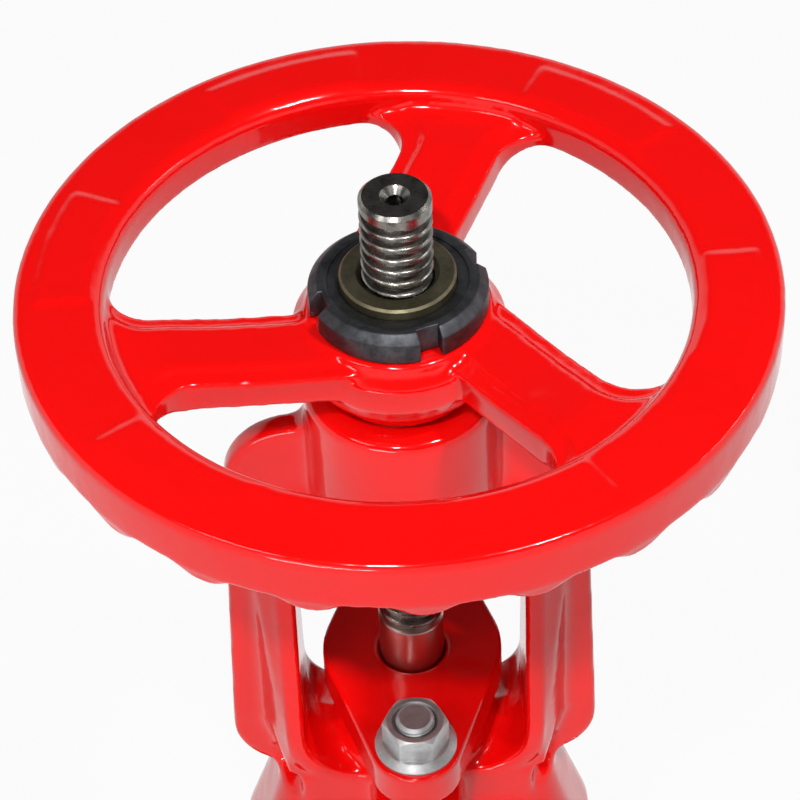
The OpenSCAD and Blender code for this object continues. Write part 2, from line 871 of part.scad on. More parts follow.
body();
bonnet();
bonnet_gasket();
wedge();
stem();
stem_nut();
handwheel();
lock_nut();
gland_follower();
gland_bolt(-1);  // gland_bolt_front
gland_bolt(1);  // gland_bolt_back
gland_nut(-1);  // gland_nut_front
gland_nut(1);  // gland_nut_back
for (i = [1:6]) {
    bonnet_bolt(i - 1);
    bonnet_nut(i - 1);
}
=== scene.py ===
import math

import bpy
from bpy.props import FloatProperty, PointerProperty, StringProperty
from mathutils import Matrix, Vector


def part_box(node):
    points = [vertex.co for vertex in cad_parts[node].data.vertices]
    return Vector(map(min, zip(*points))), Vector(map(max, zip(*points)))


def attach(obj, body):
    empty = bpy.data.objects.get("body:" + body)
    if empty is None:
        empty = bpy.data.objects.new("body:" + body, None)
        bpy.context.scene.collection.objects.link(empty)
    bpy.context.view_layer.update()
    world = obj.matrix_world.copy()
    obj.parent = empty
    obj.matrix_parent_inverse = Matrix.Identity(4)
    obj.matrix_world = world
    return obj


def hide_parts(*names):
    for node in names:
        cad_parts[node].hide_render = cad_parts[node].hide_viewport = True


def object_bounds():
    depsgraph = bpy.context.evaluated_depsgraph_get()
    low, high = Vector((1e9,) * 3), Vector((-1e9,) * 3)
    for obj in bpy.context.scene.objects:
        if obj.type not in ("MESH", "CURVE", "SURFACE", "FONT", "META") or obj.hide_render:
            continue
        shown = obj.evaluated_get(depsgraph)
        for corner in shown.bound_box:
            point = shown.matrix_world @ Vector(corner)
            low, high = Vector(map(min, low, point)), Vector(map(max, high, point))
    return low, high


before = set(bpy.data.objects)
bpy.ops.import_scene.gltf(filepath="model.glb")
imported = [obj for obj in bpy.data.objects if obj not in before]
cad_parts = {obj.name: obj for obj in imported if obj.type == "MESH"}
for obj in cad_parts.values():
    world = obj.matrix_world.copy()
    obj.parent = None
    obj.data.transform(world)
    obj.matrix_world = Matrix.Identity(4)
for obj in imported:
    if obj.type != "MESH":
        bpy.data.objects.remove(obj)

bl_info = {
    "name": "Grooved Gate Valve",
    "version": (1, 0, 0),
    "blender": (4, 5, 0),
    "location": "View3D > Sidebar > Valve",
    "description": "Dresses a grooved gate valve: painted castings, machined screw parts and a studio stage",
    "category": "Object",
}

MM = 0.001
CAD_LOW, CAD_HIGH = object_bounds()

# Places that the pieces share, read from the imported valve
LOCK_NUT_LOW, LOCK_NUT_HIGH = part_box("lock_nut")
STEM_LOW, STEM_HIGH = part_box("stem")
STEM_R = (STEM_HIGH.x - STEM_LOW.x) / 2
FOLLOWER_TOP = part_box("gland_follower")[1].z
RIM_TOP = LOCK_NUT_HIGH.z  # the rim is level with the lock nut, and only its low pads stand higher

GLAND_BOLT_R = 7.0 * MM
MOST_TRIANGLES = 180000  # in one casting

# Second tones of the finishes, as sRGB hex values
ENAMEL_DEEP = "EC0707"
STEM_DARK = "4A4844"
BRASS_DARK = "5A5544"
OXIDE_DARK = "3A3B3E"
ZINC_DARK = "A2A3A3"
RUBBER_PALE = "242424"


class ValveSizes(bpy.types.PropertyGroup):
    """Sizes of the finish that a user may change, in metres"""
    wheel_grain: FloatProperty(name="Wheel Grain", description="Size of the faces on the handwheel",
                               default=0.8 * MM, unit="LENGTH")
    wheel_fillet: FloatProperty(name="Wheel Fillet", description="Radius in the handwheel's hollow corners",
                                default=2.5 * MM, unit="LENGTH")
    casting_grain: FloatProperty(name="Casting Grain", description="Size of the faces on the large castings",
                                 default=0.9 * MM, unit="LENGTH")
    casting_fillet: FloatProperty(name="Casting Fillet", description="Radius in the castings' hollow corners",
                                  default=4.5 * MM, unit="LENGTH")
    thread_pitch: FloatProperty(name="Thread Pitch", description="Pitch of the left-hand stem thread",
                                default=5.0 * MM, unit="LENGTH")
    thread_depth: FloatProperty(name="Thread Depth", description="Depth of the stem thread",
                                default=2.3 * MM, unit="LENGTH")
    plain_stem: FloatProperty(name="Plain Stem", description="Stem without thread above the gland follower",
                              default=20.0 * MM, unit="LENGTH")
    bolt_pitch: FloatProperty(name="Bolt Pitch", description="Pitch of the gland bolts",
                              default=2.0 * MM, unit="LENGTH")


class ValveColours(bpy.types.PropertyGroup):
    """Colours of the finishes, as sRGB hex values"""
    enamel: StringProperty(name="Enamel", description="Red enamel on the castings", default="F20A0A")
    black_oxide: StringProperty(name="Black Oxide", description="Blackened steel of the lock nut",
                                default="5C5D61")
    brass: StringProperty(name="Brass", description="Dull brass of the stem nut", default="7F7860")
    stem_steel: StringProperty(name="Stem Steel", description="Oiled steel of the stem", default="98958F")
    # Partly real polish, partly a painted sheen: paler than the thread to stand in for the shank's bright
    # reflections
    shank: StringProperty(name="Shank Steel", description="Polished steel of the stem's plain shank",
                          default="C9BBB2")
    zinc: StringProperty(name="Zinc", description="Zinc plating of the bolts and nuts", default="C2C4C5")
    rubber: StringProperty(name="Rubber", description="Black rubber of the wedge and gasket",
                           default="191919")
    floor: StringProperty(name="Floor", description="Pale studio floor", default="DEDEDE")


class ValveStage(bpy.types.PropertyGroup):
    """Camera and light"""
    distance: FloatProperty(name="Camera Distance", description="From the middle of the rim to the camera",
                            default=0.9599, unit="LENGTH")
    elevation: FloatProperty(name="Elevation", description="Camera's height above the rim, as an angle",
                             default=math.radians(42.85), subtype="ANGLE")
    pitch: FloatProperty(name="Pitch", description="How far the camera looks down",
                         default=math.radians(45.253), subtype="ANGLE")
    yaw: FloatProperty(name="Yaw", description="How far the camera looks to the right",
                       default=math.radians(-0.072), subtype="ANGLE")
    roll: FloatProperty(name="Roll", description="Turn of the camera about its own axis",
                        default=math.radians(-2.288), subtype="ANGLE")
    lens: FloatProperty(name="Lens", description="Focal length in millimetres on a 36 mm sensor",
                        default=131.26)
    key: FloatProperty(name="Key Lights", description="Power of each key light in watts", default=12.3)
    side: FloatProperty(name="Side Lights", description="Power of each side light in watts", default=2.0)
    fill: FloatProperty(name="Fill Light", description="Power of the front fill in watts", default=8.5)
    sky: FloatProperty(name="Sky", description="Strength of the soft light from all round", default=0.11)
    glow: FloatProperty(name="Floor Glow", description="Share of the floor that stays white in a shadow",
                        default=0.94, min=0.0, max=1.0)


def only(obj):
    """Selects obj alone and makes it active, so that an operator acts on nothing else"""
    bpy.ops.object.select_all(action="DESELECT")
    obj.select_set(True)
    bpy.context.view_layer.objects.active = obj


def apply_modifier(obj, kind, **settings):
    only(obj)
    modifier = obj.modifiers.new(kind.title(), kind)
    for key, value in settings.items():
        setattr(modifier, key, value)
    bpy.ops.object.modifier_apply(modifier=modifier.name)


def linear(hex_colour):
    """Turns an sRGB hex value into linear red, green, blue and alpha"""
    parts = [int(hex_colour[i:i + 2], 16) / 255 for i in (0, 2, 4)]
    return [c / 12.92 if c <= 0.04045 else ((c + 0.055) / 1.055) ** 2.4 for c in parts] + [1.0]


def add_node(tree, kind, inputs=None, **settings):
    """Adds a node, sets its properties, and sets or links its inputs"""
    made = tree.nodes.new(kind)
    for key, value in settings.items():
        setattr(made, key, value)
    for key, value in (inputs or {}).items():
        if isinstance(value, bpy.types.NodeSocket):
            tree.links.new(value, made.inputs[key])
        else:
            made.inputs[key].default_value = value
    return made


def new_material(name):
    """Returns a material with only its output and shader, and the two as nodes"""
    material = bpy.data.materials.new(name)
    material.use_nodes = True
    tree = material.node_tree
    tree.nodes.clear()
    shader = add_node(tree, "ShaderNodeBsdfPrincipled")
    add_node(tree, "ShaderNodeOutputMaterial", {"Surface": shader.outputs["BSDF"]})
    return material, tree, shader


def per_size(size):
    """Scale of a pattern whose cells are this many metres across"""
    return 1.0 / size


def thread_start():
    """Height at which the stem's plain shank ends and its thread begins"""
    return FOLLOWER_TOP + bpy.context.scene.valve_sizes.plain_stem


def enamel_material():
    """Gloss enamel sprayed on cast iron: deep colour, slow waves and a fine orange peel"""
    colours = bpy.context.scene.valve_colours
    material, tree, shader = new_material("gloss_enamel_on_cast_iron")
    place = add_node(tree, "ShaderNodeTexCoord").outputs["Object"]
    blotch = add_node(tree, "ShaderNodeTexNoise", {"Vector": place, "Scale": per_size(45 * MM),
                                                   "Detail": 2.0})
    tint = add_node(tree, "ShaderNodeMix", {"Factor": blotch.outputs["Fac"]}, data_type="RGBA")
    tint.inputs["A"].default_value = linear(colours.enamel)
    tint.inputs["B"].default_value = linear(ENAMEL_DEEP)
    peel = add_node(tree, "ShaderNodeTexNoise", {"Vector": place, "Scale": per_size(3.5 * MM), "Detail": 1.0})
    runs = add_node(tree, "ShaderNodeTexNoise", {"Vector": place, "Scale": per_size(11 * MM), "Detail": 1.0})
    wave = add_node(tree, "ShaderNodeBump", {"Height": runs.outputs["Fac"], "Strength": 0.3,
                                             "Distance": 0.8 * MM})
    bump = add_node(tree, "ShaderNodeBump", {"Height": peel.outputs["Fac"], "Strength": 0.05,
                                             "Distance": 0.4 * MM, "Normal": wave.outputs["Normal"]})
    tree.links.new(tint.outputs["Result"], shader.inputs["Base Color"])
    tree.links.new(bump.outputs["Normal"], shader.inputs["Normal"])
    shader.inputs["Roughness"].default_value = 0.12
    shader.inputs["IOR"].default_value = 1.46
    return material


def metal_material(name, colour, dark, roughness, grain):
    """Machined steel or brass: fine tool marks, darker patches where oil and dirt stay"""
    # Real tool marks are about 0.1 mm apart, and grain is coarser than that, so that they show
    wear = 0.35  # the softness of the patches' edges
    material, tree, shader = new_material(name)
    place = add_node(tree, "ShaderNodeTexCoord").outputs["Object"]
    patch = add_node(tree, "ShaderNodeTexNoise", {"Vector": place, "Scale": per_size(6 * MM), "Detail": 5.0,
                                                  "Roughness": 0.65})
    spread = add_node(tree, "ShaderNodeMapRange", {"Value": patch.outputs["Fac"], "From Min": 0.5 - wear / 2,
                                                   "From Max": 0.5 + wear / 2})
    tint = add_node(tree, "ShaderNodeMix", {"Factor": spread.outputs["Result"]}, data_type="RGBA")
    tint.inputs["A"].default_value = linear(dark)
    tint.inputs["B"].default_value = linear(colour)
    shine = add_node(tree, "ShaderNodeMapRange", {"Value": patch.outputs["Fac"], "To Min": roughness + 0.12,
                                                  "To Max": roughness - 0.08})
    marks = add_node(tree, "ShaderNodeTexNoise", {"Vector": place, "Scale": per_size(grain), "Detail": 3.0})
    bump = add_node(tree, "ShaderNodeBump", {"Height": marks.outputs["Fac"], "Strength": 0.25,
                                             "Distance": 0.1 * MM})
    tree.links.new(tint.outputs["Result"], shader.inputs["Base Color"])
    tree.links.new(shine.outputs["Result"], shader.inputs["Roughness"])
    tree.links.new(bump.outputs["Normal"], shader.inputs["Normal"])
    shader.inputs["Metallic"].default_value = 1.0
    return material


def stem_material():
    """Turned steel: the plain shank polished, its paler colour partly a painted sheen for its bright
    reflections; the thread above it darker
    """
    scene = bpy.context.scene
    material = metal_material("turned_steel_painted_shank_sheen", scene.valve_colours.stem_steel, STEM_DARK, 0.26, 0.8 * MM)
    tree = material.node_tree
    shader = tree.nodes["Principled BSDF"]
    place = add_node(tree, "ShaderNodeTexCoord").outputs["Object"]
    height = add_node(tree, "ShaderNodeSeparateXYZ", {"Vector": place}).outputs["Z"]
    # Painted sheen: below the thread's start the shank takes its own paler colour, standing in for its bright
    # reflections
    thread_share = add_node(tree, "ShaderNodeMapRange", {"Value": height, "From Min": thread_start() - 2 * MM,
                                                "From Max": thread_start() + 3 * MM}).outputs["Result"]
    for socket, shank_value in (("Base Color", linear(scene.valve_colours.shank)), ("Roughness", 0.3)):
        thread_socket = shader.inputs[socket].links[0].from_socket
        kind = "RGBA" if socket == "Base Color" else "FLOAT"
        mix = add_node(tree, "ShaderNodeMix", {"Factor": thread_share}, data_type=kind)
        pair = [i for i in mix.inputs if i.enabled and i.name in ("A", "B")]
        pair[0].default_value = shank_value
        tree.links.new(thread_socket, pair[1])
        tree.links.new([o for o in mix.outputs if o.enabled][0], shader.inputs[socket])
    return material


def rubber_material():
    """Moulded rubber: nearly black, with a soft sheen and a fine skin"""
    material, tree, shader = new_material("moulded_rubber")
    place = add_node(tree, "ShaderNodeTexCoord").outputs["Object"]
    skin = add_node(tree, "ShaderNodeTexNoise", {"Vector": place, "Scale": per_size(2 * MM), "Detail": 3.0})
    bump = add_node(tree, "ShaderNodeBump", {"Height": skin.outputs["Fac"], "Strength": 0.2,
                                             "Distance": 0.1 * MM})
    tone = add_node(tree, "ShaderNodeMix", {"Factor": skin.outputs["Fac"]}, data_type="RGBA")
    tone.inputs["A"].default_value = linear(bpy.context.scene.valve_colours.rubber)
    tone.inputs["B"].default_value = linear(RUBBER_PALE)
    tree.links.new(tone.outputs["Result"], shader.inputs["Base Color"])
    tree.links.new(bump.outputs["Normal"], shader.inputs["Normal"])
    shader.inputs["Roughness"].default_value = 0.5
    return material


def brass_material():
    """Brass turned from bar and left to dull"""
    colour = bpy.context.scene.valve_colours.brass
    return metal_material("dull_machined_brass", colour, BRASS_DARK, 0.45, 0.8 * MM)


def oxide_material():
    """Steel blackened in a hot bath, slightly worn"""
    colour = bpy.context.scene.valve_colours.black_oxide
    return metal_material("black_oxide_steel", colour, OXIDE_DARK, 0.5, 0.7 * MM)


def zinc_material():
    """Steel with bright zinc plating that has gone a little dull"""
    colour = bpy.context.scene.valve_colours.zinc
    return metal_material("zinc_plated_steel", colour, ZINC_DARK, 0.5, 0.6 * MM)


FINISHES = {"red_enamel": enamel_material, "gasket_rubber": rubber_material, "wedge_rubber": rubber_material,
            "stem_steel": stem_material, "nut_brass": brass_material, "black_oxide_steel": oxide_material,
            "zinc_steel": zinc_material}
MATERIALS = {}


def material_for(slot):
    """Makes each finish once and shares it between the pieces that have it"""
    finish = FINISHES[slot]
    if finish not in MATERIALS:
        MATERIALS[finish] = finish()
    return MATERIALS[finish]


def dress(obj, body, slot, *nodes):
    """Gives a finished piece its material and its body, and hides the CAD nodes that it stands for"""
    obj.data.materials.clear()
    obj.data.materials.append(material_for(slot))
    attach(obj, body)
    if nodes:
        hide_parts(*nodes)


def merged_copy(node, name):
    """Copies a CAD node into a new object and merges its loose triangles"""
    obj = bpy.data.objects.new(name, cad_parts[node].data.copy())
    bpy.context.scene.collection.objects.link(obj)
    only(obj)
    bpy.ops.object.mode_set(mode="EDIT")
    bpy.ops.mesh.select_all(action="SELECT")
    bpy.ops.mesh.remove_doubles(threshold=0.002 * MM)
    bpy.ops.object.mode_set(mode="OBJECT")
    return obj


def count_triangles(obj):
    return sum(len(face.vertices) - 2 for face in obj.data.polygons)


def cast_copy(node, name, grain, fillet, soften, lumps=0.0):
    """Remakes a CAD node as a casting: filled hollow corners, soft edges and a slightly uneven skin"""
    obj = merged_copy(node, name)
    apply_modifier(obj, "REMESH", mode="VOXEL", voxel_size=grain)
    for way in (1, -1):
        apply_modifier(obj, "SMOOTH", factor=0.5, iterations=3)
        apply_modifier(obj, "DISPLACE", mid_level=0.0, strength=way * fillet)
        apply_modifier(obj, "REMESH", mode="VOXEL", voxel_size=grain)
    apply_modifier(obj, "SMOOTH", factor=0.5, iterations=soften)
    if lumps:
        skin = bpy.data.textures.new(name + "_skin", "CLOUDS")
        skin.noise_scale = 10 * MM
        apply_modifier(obj, "DISPLACE", texture=skin, texture_coords="LOCAL", mid_level=0.5, strength=lumps)
    triangles = count_triangles(obj)
    if triangles > MOST_TRIANGLES:
        apply_modifier(obj, "DECIMATE", ratio=MOST_TRIANGLES / triangles)
    only(obj)
    bpy.ops.object.shade_smooth()
    return obj


def turned_copy(node, name, edge):
    """Remakes a machined CAD node with its sharp edges broken by a small bevel"""
    obj = merged_copy(node, name)
    bpy.ops.object.mode_set(mode="EDIT")
    bpy.ops.mesh.select_all(action="SELECT")
    bpy.ops.mesh.dissolve_limited(angle_limit=math.radians(1.0))
    bpy.ops.object.mode_set(mode="OBJECT")
    apply_modifier(obj, "BEVEL", width=edge, segments=2, limit_method="ANGLE", angle_limit=math.radians(25))
    only(obj)
    bpy.ops.object.shade_smooth_by_angle(angle=math.radians(35))
    return obj


def outline(name, points):
    """Draws a chain of edges in the XZ plane through the points, from radius and height"""
    bpy.ops.object.select_all(action="DESELECT")
    bpy.ops.mesh.primitive_plane_add(size=1 * MM, location=(0, 0, 0))
    obj = bpy.context.object
    obj.name = name
    bpy.ops.object.mode_set(mode="EDIT")
    bpy.ops.mesh.select_all(action="SELECT")
    bpy.ops.mesh.merge(type="CENTER")
    bpy.ops.transform.translate(value=(points[0][0], 0, points[0][1]))
    for (r0, z0), (r1, z1) in zip(points, points[1:]):
        bpy.ops.mesh.extrude_region_move(TRANSFORM_OT_translate={"value": (r1 - r0, 0, z1 - z0)})
    bpy.ops.mesh.select_all(action="SELECT")
    bpy.ops.mesh.remove_doubles(threshold=0.001 * MM)
    return obj


def lathe(name, points, steps=96):
    """Spins an outline about the Z axis into a closed solid"""
    obj = outline(name, points)
    bpy.ops.mesh.select_all(action="SELECT")
    bpy.ops.mesh.spin(steps=steps, angle=2 * math.pi, center=(0, 0, 0), axis=(0, 0, 1))
    bpy.ops.mesh.select_all(action="SELECT")
    bpy.ops.mesh.remove_doubles(threshold=0.001 * MM)
    bpy.ops.mesh.normals_make_consistent(inside=False)
    bpy.ops.object.mode_set(mode="OBJECT")
    return obj


def cut_thread(obj, radius, depth, pitch, low, high, hand):
    """Cuts a trapezoidal thread with rounded crests into a bar, with hand 1 for right and -1 for left"""
    # The groove's depth, and its half width as a share of the pitch, from its floor to outside the bar
    sides = ((depth, 0.15), (0.85 * depth, 0.2), (0.35 * depth, 0.27), (0.12 * depth, 0.33), (0.0, 0.42),
             (-0.1 * depth, 0.47))
    side = [(radius - deep, wide * pitch) for deep, wide in sides]
    section = [(r, low - w) for r, w in side] + [(r, low + w) for r, w in reversed(side)]
    tool = outline("thread_tool", section + section[:1])
    bpy.ops.object.mode_set(mode="OBJECT")
    turns = math.floor((high - low) / pitch)
    apply_modifier(tool, "SCREW", angle=hand * 2 * math.pi, screw_offset=pitch, iterations=turns, steps=48,
                   render_steps=48)
    only(tool)
    bpy.ops.object.mode_set(mode="EDIT")
    bpy.ops.mesh.select_all(action="SELECT")
    bpy.ops.mesh.remove_doubles(threshold=0.001 * MM)
    bpy.ops.mesh.fill_holes(sides=12)
    bpy.ops.mesh.normals_make_consistent(inside=False)
    bpy.ops.object.mode_set(mode="OBJECT")
    apply_modifier(obj, "BOOLEAN", operation="DIFFERENCE", solver="EXACT", object=tool)
    bpy.data.objects.remove(tool)
    only(obj)
    bpy.ops.object.shade_smooth_by_angle(angle=math.radians(32))


def move_mesh(obj, offset):
    """Moves a mesh in its own frame, so that its object stays at the origin"""
    only(obj)
    bpy.ops.object.mode_set(mode="EDIT")
    bpy.ops.mesh.select_all(action="SELECT")
    bpy.ops.transform.translate(value=offset)
    bpy.ops.object.mode_set(mode="OBJECT")


class VALVE_OT_handwheel(bpy.types.Operator):
    """Makes the handwheel: a cast rim with grip lobes, three dished spokes and a hub"""
    bl_idname = "valve.handwheel"
    bl_label = "Handwheel"

    def execute(self, context):
        sizes = context.scene.valve_sizes
        wheel = cast_copy("handwheel", "painted_handwheel", sizes.wheel_grain, sizes.wheel_fillet,
                          soften=6, lumps=0.2 * MM)
        dress(wheel, "wheel", "red_enamel", "handwheel")
        return {"FINISHED"}


class VALVE_OT_bonnet(bpy.types.Operator):
    """Makes the bonnet and yoke, one painted casting"""
    bl_idname = "valve.bonnet"
    bl_label = "Bonnet and Yoke"

    def execute(self, context):
        sizes = context.scene.valve_sizes
        bonnet = cast_copy("bonnet", "painted_bonnet", sizes.casting_grain, sizes.casting_fillet,
                           soften=18, lumps=0.15 * MM)
        dress(bonnet, "valve", "red_enamel", "bonnet")
        return {"FINISHED"}


class VALVE_OT_body(bpy.types.Operator):
    """Makes the valve body with its grooved ends, one painted casting"""
    bl_idname = "valve.body"
    bl_label = "Body"

    def execute(self, context):
        body = cast_copy("body", "painted_body", grain=1.3 * MM, fillet=2.0 * MM, soften=3, lumps=0.2 * MM)
        dress(body, "valve", "red_enamel", "body")
        return {"FINISHED"}


class VALVE_OT_gland_follower(bpy.types.Operator):
    """Makes the painted gland follower"""
    bl_idname = "valve.gland_follower"
    bl_label = "Gland Follower"

    def execute(self, context):
        follower = cast_copy("gland_follower", "painted_gland_follower", grain=0.7 * MM, fillet=1.5 * MM,
                             soften=5, lumps=0.15 * MM)
        dress(follower, "valve", "red_enamel", "gland_follower")
        return {"FINISHED"}


class VALVE_OT_stem(bpy.types.Operator):
    """Makes the stem: a plain shank, a left-hand trapezoidal thread and a centred end"""
    bl_idname = "valve.stem"
    bl_label = "Stem"

    def execute(self, context):
        sizes = context.scene.valve_sizes
        low, high = STEM_LOW.z, STEM_HIGH.z
        foot_edge, top_edge = 1.0 * MM, 1.2 * MM
        centre_r, drill_r, drill_deep, drill_point = 5.0 * MM, 2.75 * MM, 8.0 * MM, 1.6 * MM
        stem = lathe("threaded_stem", [
            (0, low), (STEM_R - foot_edge, low), (STEM_R, low + foot_edge), (STEM_R, high - top_edge),
            (STEM_R - top_edge, high), (centre_r, high), (drill_r, high - (centre_r - drill_r)),
            (drill_r, high - drill_deep), (0, high - drill_deep - drill_point)])
        cut_thread(stem, STEM_R, sizes.thread_depth, sizes.thread_pitch, thread_start(), high, hand=-1)
        dress(stem, "stem", "stem_steel", "stem")
        return {"FINISHED"}


class VALVE_OT_stem_nut(bpy.types.Operator):
    """Makes the stem nut, turned from bar: a collar, a barrel and a ring above the lock nut"""
    bl_idname = "valve.stem_nut"
    bl_label = "Stem Nut"

    def execute(self, context):
        low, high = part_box("stem_nut")
        hub_top = LOCK_NUT_LOW.z - 0.5 * MM
        collar_r, collar_top = high.x, low.z + 8.7 * MM
        barrel_r, end_r, bore_r = 21.5 * MM, 19.5 * MM, STEM_R + 0.3 * MM
        edge, bore_edge = 0.8 * MM, 1.6 * MM
        nut = lathe("bronze_stem_nut", [
            (bore_r + edge, low.z), (collar_r - edge, low.z), (collar_r, low.z + edge),
            (collar_r, collar_top - edge), (collar_r - edge, collar_top), (barrel_r, collar_top),
            (barrel_r, hub_top), (end_r, hub_top), (end_r, high.z - edge), (end_r - edge, high.z),
            (bore_r + bore_edge, high.z), (bore_r, high.z - bore_edge), (bore_r, low.z + edge),
            (bore_r + edge, low.z)])
        only(nut)
        bpy.ops.object.shade_smooth_by_angle(angle=math.radians(35))
        dress(nut, "wheel", "nut_brass", "stem_nut")
        return {"FINISHED"}


class VALVE_OT_lock_nut(bpy.types.Operator):
    """Makes the slotted lock nut on top of the hub"""
    bl_idname = "valve.lock_nut"
    bl_label = "Lock Nut"

    def execute(self, context):
        nut = turned_copy("lock_nut", "slotted_lock_nut", edge=0.35 * MM)
        dress(nut, "wheel", "black_oxide_steel", "lock_nut")
        return {"FINISHED"}


def make_gland_bolt(place, pitch):
    """Makes a gland bolt: a hexagon head below the lug and a bar with a threaded end"""
    chamfer, head_h, head_edge = 1.3 * MM, 9.0 * MM, 0.6 * MM
    thread_depth, thread_under_nut = 1.1 * MM, 10.0 * MM
    low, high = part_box("gland_bolt_" + place)
    nut_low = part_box("gland_nut_" + place)[0]
    bolt = lathe("threaded_gland_bolt_" + place, [
        (0, low.z + head_h), (GLAND_BOLT_R, low.z + head_h), (GLAND_BOLT_R, high.z - chamfer),
        (GLAND_BOLT_R - chamfer, high.z), (0, high.z)], 64)
    cut_thread(bolt, GLAND_BOLT_R, thread_depth, pitch, nut_low.z - thread_under_nut, high.z, hand=1)
    bpy.ops.object.select_all(action="DESELECT")
    bpy.ops.mesh.primitive_cylinder_add(vertices=6, radius=(high.y - low.y) / 2, depth=head_h,
                                        location=(0, 0, low.z + head_h / 2), rotation=(0, 0, math.pi / 6))
    head = bpy.context.object
    bpy.ops.object.transform_apply(location=True, rotation=True, scale=True)
    apply_modifier(head, "BEVEL", width=head_edge, segments=2, limit_method="ANGLE")
    only(bolt)
    head.select_set(True)
    bpy.ops.object.join()
    move_mesh(bolt, (0, (low.y + high.y) / 2, 0))
    dress(bolt, "valve", "zinc_steel", "gland_bolt_" + place)


def make_gland_nut(place):
    """Makes a flange nut with a countersink round the end of its bolt"""
    sink_in, sink_out, sink_deep, sink_over = 1.0 * MM, 1.6 * MM, 2.6 * MM, 0.1 * MM
    low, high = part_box("gland_nut_" + place)
    nut = turned_copy("gland_nut_" + place, "flanged_gland_nut_" + place, edge=0.45 * MM)
    bpy.ops.object.select_all(action="DESELECT")
    sink_place = (0, (low.y + high.y) / 2, high.z - sink_deep / 2 + sink_over)
    bpy.ops.mesh.primitive_cone_add(vertices=64, radius1=GLAND_BOLT_R - sink_in, depth=sink_deep,
                                    radius2=GLAND_BOLT_R + sink_out, location=sink_place)
    sink = bpy.context.object
    apply_modifier(nut, "BOOLEAN", operation="DIFFERENCE", solver="EXACT", object=sink)
    bpy.data.objects.remove(sink)
    only(nut)
    bpy.ops.object.shade_smooth_by_angle(angle=math.radians(35))
    dress(nut, "valve", "zinc_steel", "gland_nut_" + place)


class VALVE_OT_gland_bolts(bpy.types.Operator):
    """Makes the two gland bolts with threaded ends, and their flange nuts"""
    bl_idname = "valve.gland_bolts"
    bl_label = "Gland Bolts and Nuts"

    def execute(self, context):
        for place in ("front", "back"):
            make_gland_bolt(place, context.scene.valve_sizes.bolt_pitch)
            make_gland_nut(place)
        return {"FINISHED"}


class VALVE_OT_bonnet_bolts(bpy.types.Operator):
    """Makes the six bolts and nuts that hold the bonnet to the body"""
    bl_idname = "valve.bonnet_bolts"
    bl_label = "Bonnet Bolts and Nuts"

    def execute(self, context):
        for i in range(1, 7):
            for kind in ("bolt", "nut"):
                node = "bonnet_%s_%d" % (kind, i)
                dress(turned_copy(node, "hexagon_" + node, edge=0.6 * MM), "valve", "zinc_steel", node)
        return {"FINISHED"}


class VALVE_OT_rubber(bpy.types.Operator):
    """Makes the bonnet gasket and the rubber-coated wedge"""
    bl_idname = "valve.rubber"
    bl_label = "Gasket and Wedge"

    def execute(self, context):
        gasket = turned_copy("bonnet_gasket", "rubber_gasket", edge=0.3 * MM)
        dress(gasket, "valve", "gasket_rubber", "bonnet_gasket")
        wedge = cast_copy("wedge", "rubber_coated_wedge", grain=1.1 * MM, fillet=2.0 * MM, soften=5)
        dress(wedge, "stem", "wedge_rubber", "wedge")
        return {"FINISHED"}


class VALVE_OT_stage(bpy.types.Operator):
    """Makes the floor, the lights and the camera"""
    bl_idname = "valve.stage"
    bl_label = "Stage"

    def execute(self, context):
        stage = context.scene.valve_stage
        make_floor(stage.glow)
        make_world(stage.sky)
        make_lamp("key_left", (-0.15, -0.92, 1.20), (0.06, 0.06), stage.key)
        make_lamp("key_right", (0.54, -0.45, 1.32), (0.09, 0.09), stage.key)
        make_lamp("left_strip", (-0.72, -0.62, 0.85), (0.45, 0.15), stage.side)
        make_lamp("right_strip", (1.15, 0.05, 0.5), (0.4, 0.07), 0.4 * stage.side)
        make_lamp("front_fill", (-0.6, -1.55, -0.03), (0.8, 0.16), stage.fill)
        make_camera(stage)
        context.scene.view_settings.view_transform = "Standard"
        return {"FINISHED"}


def seen_directly(tree):
    """One where a ray comes straight from the camera, a mirror or glass, else nought"""
    path = add_node(tree, "ShaderNodeLightPath")
    eye, mirror, glass = (path.outputs["Is %s Ray" % kind] for kind in ("Camera", "Glossy", "Transmission"))
    both = add_node(tree, "ShaderNodeMath", {0: eye, 1: mirror}, operation="MAXIMUM").outputs[0]
    return add_node(tree, "ShaderNodeMath", {0: both, 1: glass}, operation="MAXIMUM").outputs[0]


def floor_material(glow):
    """Matt pale paint, of which a share is seen as plain white, so that shadows stay faint"""
    material = bpy.data.materials.new("pale_studio_floor")
    material.use_nodes = True
    tree = material.node_tree
    tree.nodes.clear()
    plain = add_node(tree, "ShaderNodeBsdfDiffuse", {"Color": linear(bpy.context.scene.valve_colours.floor)})
    white = add_node(tree, "ShaderNodeEmission", {"Strength": 1.0})
    share = add_node(tree, "ShaderNodeMath", {0: seen_directly(tree), 1: glow}, operation="MULTIPLY")
    mixed = add_node(tree, "ShaderNodeMixShader", {0: share.outputs[0], 1: plain.outputs[0],
                                                   2: white.outputs[0]})
    add_node(tree, "ShaderNodeOutputMaterial", {"Surface": mixed.outputs[0]})
    return material


def make_floor(glow):
    bpy.ops.object.select_all(action="DESELECT")
    bpy.ops.mesh.primitive_plane_add(size=14.0, location=(0, 0, CAD_LOW.z))
    floor = bpy.context.object
    floor.name = "studio_floor"
    floor.data.materials.append(floor_material(glow))


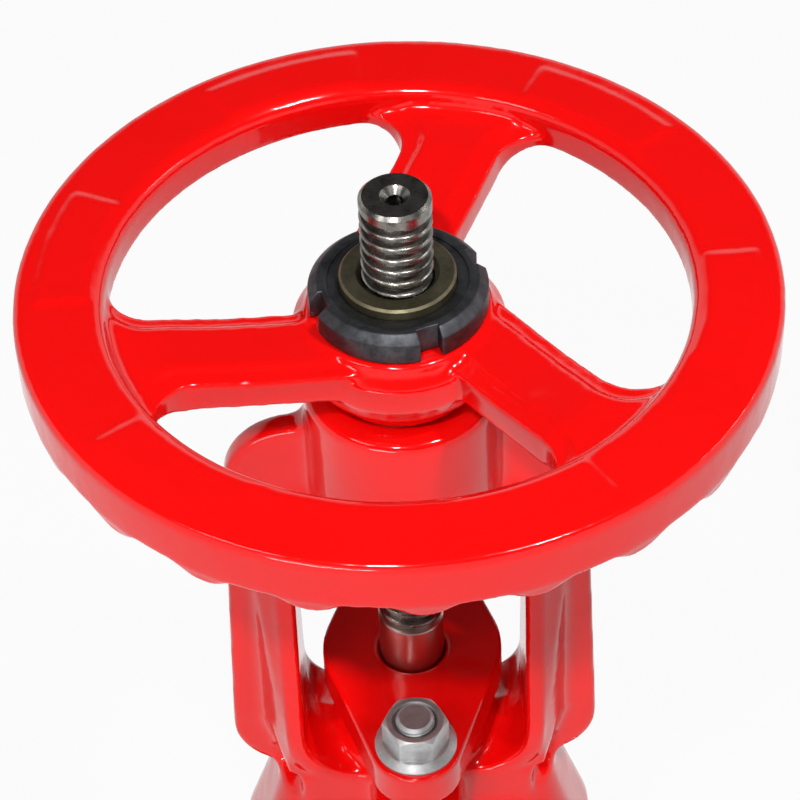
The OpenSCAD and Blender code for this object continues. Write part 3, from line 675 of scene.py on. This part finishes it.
def make_world(strength):
    """Even soft light, seen as a white backdrop round the horizon under a dark ceiling"""
    world = bpy.data.worlds.new("studio")
    bpy.context.scene.world = world
    world.use_nodes = True
    tree = world.node_tree
    tree.nodes.clear()
    way = add_node(tree, "ShaderNodeTexCoord").outputs["Generated"]
    height = add_node(tree, "ShaderNodeSeparateXYZ", {"Vector": way}).outputs["Z"]
    ceiling = add_node(tree, "ShaderNodeMapRange", {"Value": height, "From Min": 0.3, "From Max": 0.55,
                                                    "To Min": 1.0, "To Max": 0.06},
                       interpolation_type="SMOOTHSTEP")
    white = (1, 1, 1, 1)
    soft = add_node(tree, "ShaderNodeBackground", {"Color": white, "Strength": strength})
    seen = add_node(tree, "ShaderNodeBackground", {"Color": white, "Strength": ceiling.outputs["Result"]})
    mixed = add_node(tree, "ShaderNodeMixShader", {0: seen_directly(tree), 1: soft.outputs[0],
                                                   2: seen.outputs[0]})
    add_node(tree, "ShaderNodeOutputWorld", {"Surface": mixed.outputs[0]})


def make_lamp(name, place, size, power):
    """Makes a flat softbox, placed from the middle of the rim and aimed at the yoke below it"""
    aim_drop = 100 * MM
    light = bpy.data.lights.new(name, "AREA")
    light.shape = "RECTANGLE"
    light.size, light.size_y = size
    light.energy = power
    lamp = bpy.data.objects.new(name, light)
    lamp.location = Vector((0, 0, RIM_TOP)) + Vector(place)
    aim = Vector((0, 0, RIM_TOP - aim_drop)) - lamp.location
    lamp.rotation_euler = aim.to_track_quat("-Z", "Y").to_euler()
    bpy.context.scene.collection.objects.link(lamp)


def make_camera(stage):
    """Places the camera from the middle of the rim, in front of the valve"""
    data = bpy.data.cameras.new("camera")
    data.sensor_width = 36.0
    data.lens = stage.lens
    camera = bpy.data.objects.new("camera", data)
    bpy.context.scene.collection.objects.link(camera)
    look = Vector((math.sin(stage.yaw) * math.cos(stage.pitch), math.cos(stage.yaw) * math.cos(stage.pitch),
                   -math.sin(stage.pitch)))
    level = look.cross(Vector((0, 0, 1))).normalized()
    upright = level.cross(look)
    right = math.cos(stage.roll) * level + math.sin(stage.roll) * upright
    up = -math.sin(stage.roll) * level + math.cos(stage.roll) * upright
    offset = Vector((0, -math.cos(stage.elevation), math.sin(stage.elevation))) * stage.distance
    turn = Matrix((right, up, -look)).transposed().to_4x4()
    camera.matrix_world = Matrix.Translation(Vector((0, 0, RIM_TOP)) + offset) @ turn
    bpy.context.scene.camera = camera


class VALVE_PT_panel(bpy.types.Panel):
    """Lists the pieces of the valve"""
    bl_idname = "VALVE_PT_panel"
    bl_label = "Gate Valve"
    bl_space_type = "VIEW_3D"
    bl_region_type = "UI"
    bl_category = "Valve"

    def draw(self, context):
        for operator in OPERATORS:
            self.layout.operator(operator.bl_idname)


OPERATORS = (VALVE_OT_handwheel, VALVE_OT_bonnet, VALVE_OT_body, VALVE_OT_gland_follower, VALVE_OT_stem,
             VALVE_OT_stem_nut, VALVE_OT_lock_nut, VALVE_OT_gland_bolts, VALVE_OT_bonnet_bolts,
             VALVE_OT_rubber, VALVE_OT_stage)
GROUPS = {"valve_sizes": ValveSizes, "valve_colours": ValveColours, "valve_stage": ValveStage}


def register():
    for group in GROUPS.values():
        bpy.utils.register_class(group)
    for name, group in GROUPS.items():
        setattr(bpy.types.Scene, name, PointerProperty(type=group))
    for cls in OPERATORS + (VALVE_PT_panel,):
        bpy.utils.register_class(cls)


def unregister():
    for cls in (VALVE_PT_panel,) + OPERATORS:
        bpy.utils.unregister_class(cls)
    for name, group in GROUPS.items():
        delattr(bpy.types.Scene, name)
        bpy.utils.unregister_class(group)


def main():
    register()
    bpy.ops.object.select_all(action="DESELECT")
    for operator in OPERATORS:
        family, name = operator.bl_idname.split(".")
        getattr(getattr(bpy.ops, family), name)()


if __name__ == "__main__":
    main()
